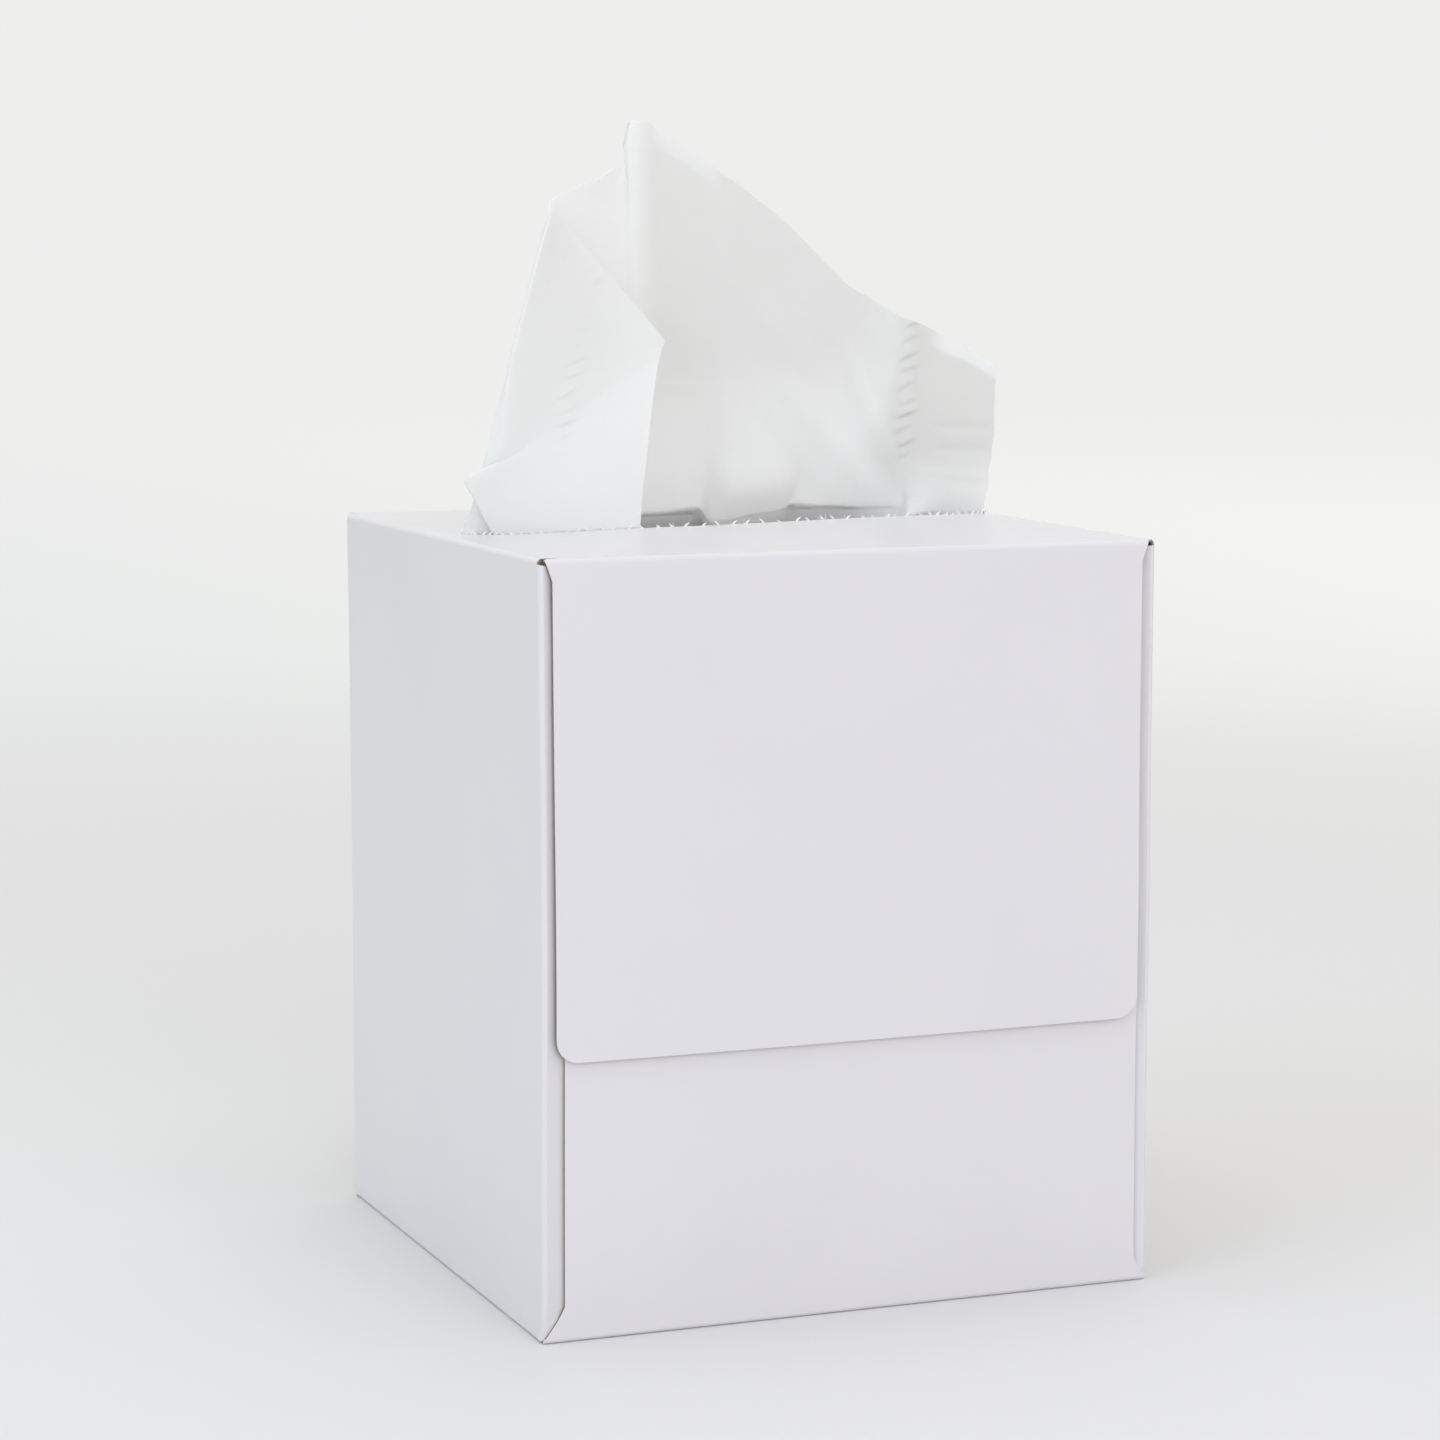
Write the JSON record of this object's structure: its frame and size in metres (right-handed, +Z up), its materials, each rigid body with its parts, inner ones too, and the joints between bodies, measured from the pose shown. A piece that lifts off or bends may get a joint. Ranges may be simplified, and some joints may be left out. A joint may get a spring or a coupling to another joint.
{
  "type": "box of facial tissues",
  "caption": "White cube carton of facial tissues, closed by glued overlapping end flaps, with a long oval opening in its top and a folded tissue standing up out of it.",
  "frame": {"origin": "middle of the carton's underside, on the surface it stands on", "axes": "+Z up, +X to the right along the long way of the oval opening, -Y towards the end whose overlapping flaps face the viewer"},
  "size_m": [0.1084, 0.1084, 0.1962],
  "materials": {
    "carton_board": "satin",
    "tissue": "matte",
    "hot_melt_glue": "satin"
  },
  "bodies": {
    "root": {"carton": "carton_board", "tissue_stack": "tissue", "raised_tissue": "tissue", "front_flap_glue": "hot_melt_glue", "back_flap_glue": "hot_melt_glue", "seam_glue": "hot_melt_glue"}
  },
  "joints": []
}
